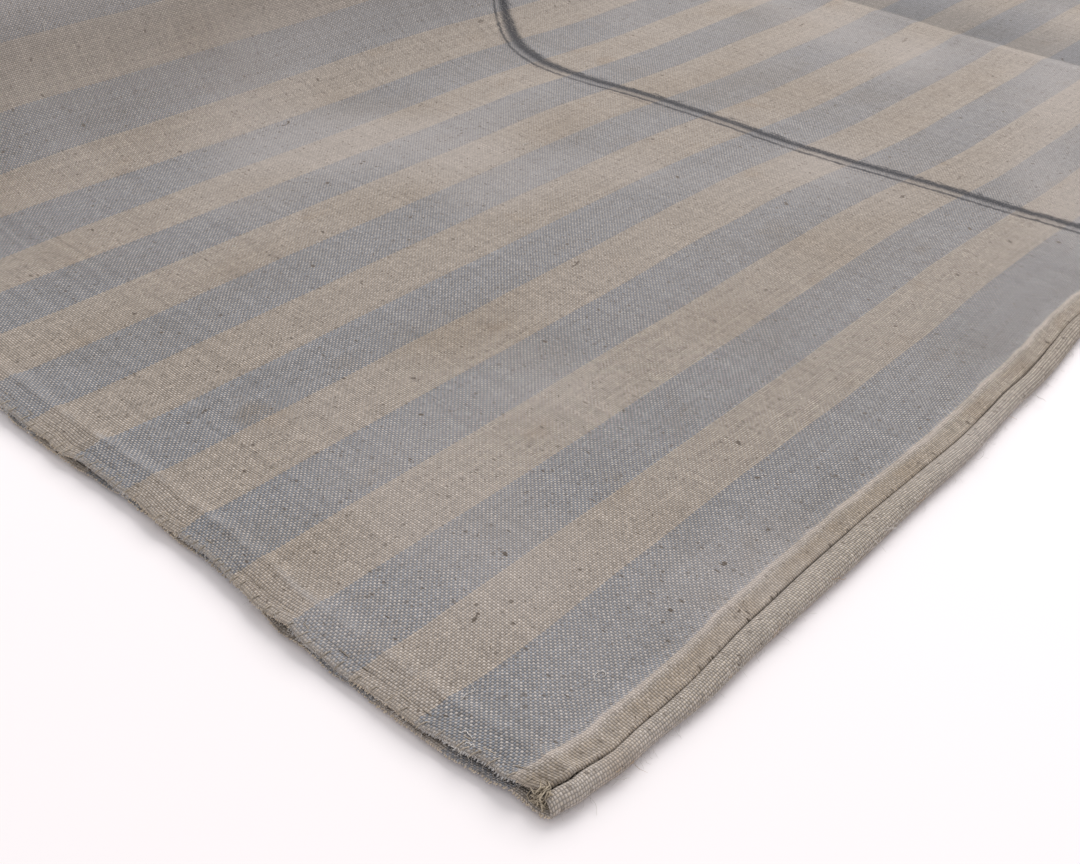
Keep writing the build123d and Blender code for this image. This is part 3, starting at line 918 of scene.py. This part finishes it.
def hem_path():
    """A turned hem: the outer layer, the fold at the mouth, and the inner layer."""
    half = HEM_PLY / 2
    radius = HEM_THICKNESS / 2 - half
    straight = HEM_DEPTH - HEM_THICKNESS / 2
    depths = np.linspace(0, straight, 34)
    lower, upper = hill(STITCH_INSET, 1.2 * MM, depths), hill(HEM_DEPTH - STITCH_INSET, 1.2 * MM, depths)
    dip = 0.13 * MM * (lower + upper)
    outer = [(d, HEM_THICKNESS - half - k) for d, k in zip(depths, dip)]
    turns = np.linspace(0, math.pi, 9)[1:-1]
    fold = [(straight + radius * math.sin(t), HEM_THICKNESS / 2 + radius * math.cos(t)) for t in turns]
    inner = [(d, half + k) for d, k in zip(depths[::-1], dip[::-1])]
    return outer + fold + inner


def eyelet_frames(panel):
    """Centre on the hem's outer surface and outward axis of each of a panel's eyelets."""
    middle_y = (HEM_START + MOUTH) / 2
    found = []
    for number, distance in enumerate(EYELETS_AT, start=1):
        if panel == "front":
            base, outward = mouth_strip("front", np.array([distance]))
            axis = Vector((outward[0][0], 0, outward[0][1]))
            centre = Vector((base[0][0], middle_y, base[0][1])) + axis * HEM_THICKNESS
        else:
            low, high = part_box(f"back_washer_{number}")
            axis = Vector((0, 0, -1))
            centre = Vector(((low.x + high.x) / 2, middle_y, BACK_HEM_BASE))
        found.append((centre, axis))
    return found


def turned(name, profile, centre, axis, material, steps=56):
    """A ring turned from a closed profile of (radius, height) about an axis."""
    side = axis.cross(Vector((0, 1, 0))).normalized()
    ahead = axis.cross(side)
    verts, faces = [], []
    count = len(profile)
    for step in range(steps):
        angle = 2 * math.pi * step / steps
        spoke = side * math.cos(angle) + ahead * math.sin(angle)
        verts += [centre + spoke * radius * MM + axis * height * MM for radius, height in profile]
        for k in range(count):
            a, b = step * count + k, step * count + (k + 1) % count
            c, d = (step + 1) % steps * count + (k + 1) % count, (step + 1) % steps * count + k
            faces.append((a, b, c, d))
    return mesh_piece(name, verts, faces, material)


def punch(piece, holes, sides=48):
    """Cuts round holes through a piece."""
    verts, faces = [], []
    for centre, axis in holes:
        side = axis.cross(Vector((0, 1, 0))).normalized()
        ahead = axis.cross(side)
        start = len(verts)
        for level in (-2.5 * HEM_THICKNESS, HEM_THICKNESS):
            for k in range(sides):
                angle = 2 * math.pi * k / sides
                spoke = side * math.cos(angle) + ahead * math.sin(angle)
                verts.append(centre + spoke * EYELET_HOLE + axis * level)
        low, high = range(start, start + sides), range(start + sides, start + 2 * sides)
        for k in range(sides):
            after = (k + 1) % sides
            faces.append((low[k], low[after], high[after], high[k]))
        faces += [tuple(reversed(low)), tuple(high)]
    cutter = mesh_piece("cutter", verts, faces, piece.data.materials[0])
    cut = piece.modifiers.new("holes", "BOOLEAN")
    cut.object = cutter
    cut.operation = "DIFFERENCE"
    graph = bpy.context.evaluated_depsgraph_get()
    piece.data = bpy.data.meshes.new_from_object(piece.evaluated_get(graph))
    piece.modifiers.clear()
    bpy.data.objects.remove(cutter)


def stitch_row(panel, depth, name):
    """A row of hem stitches, each sinking into the cloth at its ends."""
    starts = np.arange(3 * MM, PANEL_WIDTH - 5 * MM, 3.7 * MM)
    paths = []
    for start in starts:
        length = rng.uniform(2.5, 3.1) * MM
        us = start + length * np.array([0, 0.12, 0.5, 0.88, 1.0])
        base, outward = mouth_strip_at(panel, us)
        heights = HEM_THICKNESS + np.array([-0.35, 0.0, 0.12, 0.0, -0.35]) * MM
        stray = rng.uniform(-0.15, 0.15) * MM
        places = base + outward * heights[:, None]
        paths.append(([(x, HEM_START + depth + stray, z) for x, z in places], 0.26 * MM))
    return tubes(name, paths, linen_thread, sides=6)


STRIP_US = lines_between((0.02, 0.5 * MM), (PANEL_WIDTH, 2.0 * MM))
STRIPS = {panel: mouth_strip(panel, STRIP_US) for panel in ("front", "back")}


def mouth_strip_at(panel, us):
    base, outward = STRIPS[panel]
    base = np.stack([np.interp(us, STRIP_US, base[:, k]) for k in (0, 1)], axis=1)
    outward = np.stack([np.interp(us, STRIP_US, outward[:, k]) for k in (0, 1)], axis=1)
    return base, outward


def eyelet_profile(washer_drop):
    """Radius and height, in millimetres, round an eyelet's section: domed flange, barrel and rolled lip."""
    end = -HEM_THICKNESS / MM - 1.0 - washer_drop
    flange_bore = [(5.0, 0.25), (5.12, 0.52), (5.45, 0.70), (6.0, 0.75)]
    flange_rim = [(7.4, 0.70), (8.8, 0.52), (9.6, 0.33), (9.95, 0.16)]
    under = [(9.85, 0.05), (9.0, 0.05), (5.8, 0.05), (5.7, -0.1)]
    lip_outside = [(5.7, end + 0.35), (6.3, end + 0.33), (6.85, end + 0.28), (7.0, end + 0.16)]
    lip_end = [(6.8, end + 0.04), (6.2, end), (5.4, end + 0.02), (5.08, end + 0.12), (5.0, end + 0.4)]
    return flange_bore + flange_rim + under + lip_outside + lip_end


def washer_profile(washer_drop):
    """The same round the section of the flat ring behind an eyelet."""
    top = -HEM_THICKNESS / MM - 0.05 - washer_drop
    above = [(5.95, top - 0.1), (6.1, top), (9.8, top), (10.0, top - 0.15)]
    below = [(9.9, top - 0.5), (9.6, top - 0.6), (6.3, top - 0.6), (5.95, top - 0.5)]
    return above + below


strip_us = lines_between((0.02, 0.7 * MM), (0.6, 3.4 * MM), (PANEL_WIDTH, 2.0 * MM))
for panel in ("front", "back"):
    holes = eyelet_frames(panel)
    hem = swept(panel, strip_us, hem_path(), HEM_PLY, f"{panel}_hem", hem_linens[panel])
    punch(hem, holes)
    finish_piece(hem, "hem_linen", f"{panel}_mouth_hem")
    tape_depths = np.linspace(HEM_DEPTH - HEM_PLY - 0.2 * MM - TAPE_DEPTH, HEM_DEPTH - HEM_PLY - 0.7 * MM, 12)
    tape_line = [(depth, HEM_THICKNESS / 2) for depth in tape_depths]
    tape = swept(panel, strip_us, tape_line, TAPE_THICKNESS, f"{panel}_tape", tape_cotton)
    punch(tape, holes)
    finish_piece(tape, "cotton_tape", f"{panel}_mouth_tape")
    for row, depth in (("lower", STITCH_INSET), ("upper", HEM_DEPTH - STITCH_INSET)):
        stitching = stitch_row(panel, depth, f"{panel}_{row}_stitches")
        finish_piece(stitching, "linen_thread", f"{panel}_hem_{row}_stitching")
    for number, (centre, axis) in enumerate(holes, start=1):
        drop = 0.0 if abs(axis.z) > 0.9999 else 10**2 / (2 * CROWN_RADIUS / MM)
        eyelet = turned(f"{panel}_brass_eyelet_{number}", eyelet_profile(drop), centre, axis, brass)
        finish_piece(eyelet, "aged_brass", f"{panel}_eyelet_{number}")
        washer = turned(f"{panel}_brass_washer_{number}", washer_profile(drop), centre, axis, brass)
        finish_piece(washer, "aged_brass", f"{panel}_washer_{number}")


# ---------------------------------------------------------------- seams, knots and loose threads


def stripe_is_blue(u):
    """Whether the warp thread at a distance across the panel is a blue one."""
    edges = np.cumsum(STRIPE_ENDS) * WARP_PITCH
    return int(np.searchsorted(edges, u)) % 2 == 1


class Surface:
    """Looks up points on the outside of a panel by their (u, v)."""

    def __init__(self, middle, normals, us, vs):
        self.skin, self.normals, self.us, self.vs = middle + normals * CLOTH / 2, normals, us, vs

    def at(self, u, v, above=0.0):
        i = np.interp(u, self.us, np.arange(len(self.us)))
        j = np.interp(v, self.vs, np.arange(len(self.vs)))
        i0, j0 = min(int(i), len(self.us) - 2), min(int(j), len(self.vs) - 2)
        fi, fj = i - i0, j - j0

        def mixed(field):
            low = field[j0, i0] * (1 - fi) + field[j0, i0 + 1] * fi
            high = field[j0 + 1, i0] * (1 - fi) + field[j0 + 1, i0 + 1] * fi
            return low * (1 - fj) + high * fj

        return Vector(mixed(self.skin) + mixed(self.normals) * above)


front_skin = Surface(*front_grid, front_us, front_vs)
back_skin = Surface(*back_grid, back_us, back_vs)


def side_stitches(name, edge_u, pitch, material):
    """Sewing thread along the join of the two panels, dipping between stitches."""
    paths = []
    for start in np.arange(2 * MM, PANEL_LENGTH - 2 * MM, pitch):
        length = pitch * rng.uniform(0.55, 0.85)
        points = []
        for share, above in ((0, -0.9), (0.18, -0.35), (0.5, -0.22), (0.82, -0.35), (1, -0.9)):
            v = start + length * share
            low, high = front_skin.at(edge_u, v, above * MM), back_skin.at(edge_u, v, above * MM)
            points.append((low + high) / 2)
        paths.append((points, rng.uniform(0.20, 0.30) * MM))
    return tubes(name, paths, material)


# the right seam's thread is near black, painted shade standing in for the groove's shadow between the panels
right_stitches = side_stitches("right_seam_stitches", 0.0, 1.9 * MM, groove_shade_thread)
finish_piece(right_stitches, "linen_thread", "right_seam_thread")
left_stitches = side_stitches("left_seam_stitches", PANEL_WIDTH, 2.4 * MM, seam_thread)
finish_piece(left_stitches, "linen_thread", "left_seam_thread")


def bottom_stitches():
    """The worn overcasting of the bottom edge, and bits of the running thread behind it."""
    paths = []
    u = 4 * MM
    while u < PANEL_WIDTH - 4 * MM:
        lean, reach = rng.uniform(0.8, 2.4) * MM, rng.uniform(1.6, 3.4) * MM
        points = [
            front_skin.at(u, reach, -0.3 * MM),
            front_skin.at(u + lean * 0.2, reach * 0.7, 0.16 * MM),
            front_skin.at(u + lean * 0.5, 0.3 * MM, 0.14 * MM),
            front_skin.at(u + lean * 0.7, 0, -0.5 * MM) + Vector((0, -0.35 * MM, 0)),
            front_skin.at(u + lean, 0, -1.6 * MM) + Vector((0, -0.2 * MM, 0)),
        ]
        paths.append((points, rng.uniform(0.13, 0.2) * MM))
        u += rng.uniform(2.2, 7.5) * MM
    u = 6 * MM
    while u < PANEL_WIDTH - 8 * MM:
        length, v = rng.uniform(2.5, 5.5) * MM, rng.uniform(3.2, 4.6) * MM
        shares = ((0, -0.4), (0.15, 0.06), (0.5, 0.14), (0.85, 0.06), (1, -0.4))
        paths.append(([front_skin.at(u + length * k, v, above * MM) for k, above in shares], 0.15 * MM))
        u += length + rng.uniform(1.5, 14) * MM
    return tubes("bottom_seam_stitches", paths, linen_thread)


finish_piece(bottom_stitches(), "linen_thread", "bottom_seam_thread")


def frayed_ends(skin, blues):
    """Cut warp ends standing out of a panel's bottom edge: blue threads (True), others (False) or both."""
    paths = []
    for number in range(7, int(PANEL_WIDTH / WARP_PITCH) - 6):
        u = (number + 0.5) * WARP_PITCH
        if stripe_is_blue(u) not in blues:
            continue
        worn = 0.55 + 0.5 * float(wave(u / 0.012, 0, 51))
        reach = (0.1 + rng.uniform(0.1, 0.9) * worn) * MM
        start = skin.at(u, 0.9 * MM, -CLOTH / 2)
        outward = Vector((rng.gauss(0, 0.25) * MM, -reach, rng.uniform(-0.5, 0.15) * MM))
        tip = skin.at(u, 0.0, -CLOTH / 2) + outward
        tip.z = max(tip.z, 0.3 * MM)
        middle = start.lerp(tip, 0.6) + Vector((0, 0, rng.uniform(-0.05, 0.12) * MM))
        paths.append(([start, middle, tip], rng.uniform(0.22, 0.32) * MM))
    return paths


finish_piece(tubes("blue_frayed_ends", frayed_ends(front_skin, (True,)), blue_yarn), "linen_thread")
beige_ends = frayed_ends(front_skin, (False,)) + frayed_ends(back_skin, (True, False))
finish_piece(tubes("beige_frayed_ends", beige_ends, beige_yarn), "linen_thread")


def knot(name, side, node):
    """A frayed knot of several turns of thread, with its loose ends."""
    corner = front_skin.at(0.0 if side > 0 else PANEL_WIDTH, 0.0)
    centre = corner + Vector((side * 0.6 * MM, -0.4 * MM, -1.0 * MM))
    paths = []
    for _ in range(13):
        turned = rng.uniform(0, math.pi)
        about = Vector((rng.gauss(0, 1), rng.gauss(0, 1), rng.gauss(0, 1))).normalized()
        tilt = Matrix.Rotation(turned, 3, about)
        radius = rng.uniform(1.3, 3.0) * MM
        points = []
        for k in range(15):
            angle = 2 * math.pi * k / 11
            loop = Vector((math.cos(angle) * 1.25, math.sin(angle), 0.35 * math.sin(3 * angle)))
            flat = loop * radius * rng.uniform(0.7, 1.2)
            point = centre + tilt @ flat
            point.z = max(point.z, 0.4 * MM)
            points.append(point)
        paths.append((points, rng.uniform(0.16, 0.28) * MM))
    for _ in range(48):
        heading = Vector((side * rng.uniform(-0.6, 1), rng.uniform(-1, 0.5), rng.uniform(-0.5, 0.7)))
        heading.normalize()
        points, place = [], centre + heading * 0.8 * MM
        for k in range(6):
            points.append(place.copy())
            place = place + heading * rng.uniform(0.4, 0.9) * MM
            place.z = max(place.z, 0.3 * MM)
            nudge = Vector((rng.gauss(0, 0.4), rng.gauss(0, 0.4), rng.gauss(-0.1, 0.4)))
            heading = (heading + nudge).normalized()
        paths.append((points, rng.uniform(0.07, 0.16) * MM))
    return finish_piece(tubes(name, paths, knot_thread), "linen_thread", node)


knot("right_frayed_knot", 1, "right_corner_knot")
knot("left_frayed_knot", -1, "left_corner_knot")


def bartack(name, edge_u, node):
    """A dense zigzag of thread across the top of a side seam."""
    points, turns = [], 26
    for k in range(turns * 2 + 1):
        share = k / (turns * 2)
        y = HEM_START + (6 + 12 * share) * MM
        if edge_u == 0:
            x = GROOVE_X + SEAM_GAP / 2 + (2 if k % 2 else -2) * MM
            points.append((x, y, FRONT_HEM_BASE + HEM_THICKNESS + 0.35 * MM))
        else:
            base, outward = mouth_strip_at("front", np.array([PANEL_WIDTH]))
            along = np.array([-outward[0][1], outward[0][0]]) * (2 if k % 2 else -2) * MM
            x, z = base[0] + outward[0] * (HEM_THICKNESS + 0.35 * MM) + along
            points.append((x, y, z))
    return finish_piece(tubes(name, [(points, 0.24 * MM)], linen_thread, sides=6), "linen_thread", node)


bartack("right_bartack_stitches", 0.0, "right_bartack")
bartack("left_bartack_stitches", PANEL_WIDTH, "left_bartack")


def curl(place, heading, steps, stride, curve, floor=0.15 * MM):
    """Points of a loose fibre that wanders from a place."""
    points = []
    turn = rng.gauss(0, curve)
    for _ in range(steps):
        points.append(place.copy())
        place = place + heading * stride
        place.z = max(place.z, floor)
        turn = 0.6 * turn + rng.gauss(0, curve)
        rise = Vector((0, 0, rng.gauss(0, curve * 0.3)))
        heading = (Matrix.Rotation(turn, 3, "Z") @ heading + rise).normalized()
    return points


def edge_fuzz():
    """Fine fibres worn loose along the bottom and right edges and over the seam's fold."""
    paths = []
    for _ in range(1500):
        u = rng.uniform(2 * MM, PANEL_WIDTH - 3 * MM)
        heading = Vector((rng.gauss(0, 0.9), rng.uniform(-1, 0.2), rng.uniform(-0.5, 0.4))).normalized()
        place = front_skin.at(u, rng.uniform(0, 0.6) * MM, -rng.uniform(0, 0.9) * MM)
        fibre = curl(place, heading, 5, rng.uniform(0.25, 0.8) * MM, 0.5)
        paths.append((fibre, rng.uniform(0.025, 0.05) * MM))
    for _ in range(900):
        v = rng.uniform(2 * MM, PANEL_LENGTH)
        heading = Vector((rng.uniform(0, 1), rng.gauss(0, 0.9), rng.uniform(-0.8, 0.3))).normalized()
        place = back_skin.at(rng.uniform(5.2, 8.0) * MM, v)
        fibre = curl(place, heading, 6, rng.uniform(0.3, 1.0) * MM, 0.35)
        paths.append((fibre, rng.uniform(0.02, 0.04) * MM))
    for _ in range(700):
        v = rng.uniform(2 * MM, PANEL_LENGTH)
        heading = Vector((rng.gauss(0, 1), rng.gauss(0, 1), rng.uniform(0, 0.5))).normalized()
        place = front_skin.at(rng.uniform(5.5, 9.0) * MM, v)
        fibre = curl(place, heading, 5, rng.uniform(0.3, 0.7) * MM, 0.5)
        paths.append((fibre, rng.uniform(0.02, 0.045) * MM))
    return tubes("edge_fibres", paths, pale_thread, sides=3)


def long_fibres(name, count, material):
    """Hairs of flax that stand well out of the rolled right edge."""
    paths = []
    for _ in range(count):
        v = rng.uniform(4 * MM, PANEL_LENGTH)
        heading = Vector((rng.uniform(0.3, 1), rng.gauss(0, 1.1), rng.uniform(-0.2, 0.2))).normalized()
        place = back_skin.at(rng.uniform(5.5, 8.0) * MM, v)
        steps = rng.randint(7, 13)
        fibre = curl(place, heading, steps, rng.uniform(0.5, 0.8) * MM, 0.30)
        paths.append((fibre, rng.uniform(0.03, 0.06) * MM))
    return tubes(name, paths, material, sides=4)


finish_piece(edge_fuzz(), "linen_thread")
finish_piece(long_fibres("pale_long_fibres", 70, pale_thread), "linen_thread")
finish_piece(long_fibres("foxed_long_fibres", 30, foxed_thread), "linen_thread")

# Loose threads lying on the cloth: (u, v), heading in degrees from across the cloth,
# steps, stride in millimetres, curve, and radius in millimetres
LOOSE_THREADS = (
    ((0.0165, 0.0409), -60, 14, 0.75, 0.45, 0.11),
    ((0.024, 0.0015), 60, 12, 0.5, 0.90, 0.10),
    ((0.029, 0.0040), 200, 12, 0.5, 0.90, 0.10),
    ((0.040, 0.018), 190, 12, 0.8, 0.30, 0.09),
    ((0.120, 0.004), 80, 10, 0.5, 0.80, 0.10),
    ((0.190, 0.006), 15, 9, 0.6, 0.60, 0.10),
    ((0.2449, 0.140), 20, 8, 0.7, 0.60, 0.10),
    ((0.2454, 0.2709), 70, 9, 0.8, 0.50, 0.10),
    ((0.2516, 0.2676), 10, 8, 0.8, 0.60, 0.11),
    ((0.2655, 0.1155), 50, 8, 0.6, 0.60, 0.10),
    ((0.4265, 0.1275), 45, 12, 0.8, 0.55, 0.12),
    ((0.160, 0.700), 40, 12, 0.9, 0.50, 0.11),
    ((0.480, 0.620), 100, 12, 0.9, 0.50, 0.11),
)


def loose_threads():
    paths = []
    for (u, v), heading, steps, stride, curve, radius in LOOSE_THREADS:
        angle = math.radians(heading)
        turn = 0.0
        points = []
        for _ in range(steps):
            points.append(front_skin.at(u, v, (0.12 + 0.18 * rng.random()) * MM))
            u += math.cos(angle) * stride * MM
            v = max(v + math.sin(angle) * stride * MM, 0.2 * MM)
            turn = 0.6 * turn + rng.gauss(0, curve)
            angle += turn
        paths.append((points, radius * MM))
    return tubes("loose_threads", paths, pale_thread)


finish_piece(loose_threads(), "linen_thread")

for panel in ("front", "back"):
    hem, tape = bpy.data.objects[f"{panel}_hem"], bpy.data.objects[f"{panel}_tape"]


# ---------------------------------------------------------------- camera, lights and floor

CAMERA_AT = Vector((0.4561, -0.7087, 0.2548))
CAMERA_LOOK = Vector((-0.52650, 0.61026, -0.59192))
CAMERA_UP = Vector((-0.41677, 0.42157, 0.80534))
CAMERA_LENS = 43.85
FLOOR_HALF = 6.0
ROOM_LIGHT = 0.66
OVERHEAD_SIZE = 1.6
OVERHEAD_WATTS = 46


def make_camera():
    data = bpy.data.cameras.new("camera")
    data.sensor_width = 36
    data.lens = CAMERA_LENS
    data.clip_start = 0.01
    camera = bpy.data.objects.new("camera", data)
    bpy.context.scene.collection.objects.link(camera)
    look = CAMERA_LOOK.normalized()
    right = look.cross(CAMERA_UP).normalized()
    up = right.cross(look)
    camera.matrix_world = Matrix.Translation(CAMERA_AT) @ Matrix((right, up, -look)).transposed().to_4x4()
    bpy.context.scene.camera = camera


def area_light(name, place, target, size, power, colour):
    data = bpy.data.lights.new(name, "AREA")
    data.shape = "SQUARE"
    data.size = size
    data.energy = power
    data.color = colour
    light = bpy.data.objects.new(name, data)
    light.location = place
    light.rotation_euler = (Vector(target) - Vector(place)).to_track_quat("-Z", "Y").to_euler()
    bpy.context.scene.collection.objects.link(light)


def make_floor():
    g = Graph("pale_floor")
    place = g.node("ShaderNodeTexCoord").outputs["Object"]
    parts = g.node("ShaderNodeSeparateXYZ", {0: place}).outputs
    mottle = g.noise(g.times(parts[0], 3.0), g.times(parts[1], 3.0), 3.0)
    g.put(g.shader.inputs["Base Color"], g.blend(mottle, (0.965, 0.925, 0.94), (0.98, 0.94, 0.955)))
    g.shader.inputs["Roughness"].default_value = 0.9
    g.shader.inputs["Specular IOR Level"].default_value = 0.1
    half = FLOOR_HALF
    corners = [(-half, -half, 0), (half, -half, 0), (half, half, 0), (-half, half, 0)]
    mesh = bpy.data.meshes.new("floor")
    mesh.from_pydata(corners, [], [(0, 1, 2, 3)])
    mesh.materials.append(g.material)
    floor = bpy.data.objects.new("floor", mesh)
    bpy.context.scene.collection.objects.link(floor)


def make_world():
    world = bpy.data.worlds.new("studio")
    world.use_nodes = True
    background = world.node_tree.nodes["Background"]
    background.inputs["Color"].default_value = (1.0, 0.985, 0.99, 1)
    background.inputs["Strength"].default_value = ROOM_LIGHT
    bpy.context.scene.world = world


make_camera()
make_floor()
make_world()
area_light("overhead", (-0.5, 1.3, 1.5), (0.1, -0.2, 0), OVERHEAD_SIZE, OVERHEAD_WATTS, (1.0, 0.985, 0.97))
bpy.context.scene.view_settings.view_transform = "Standard"
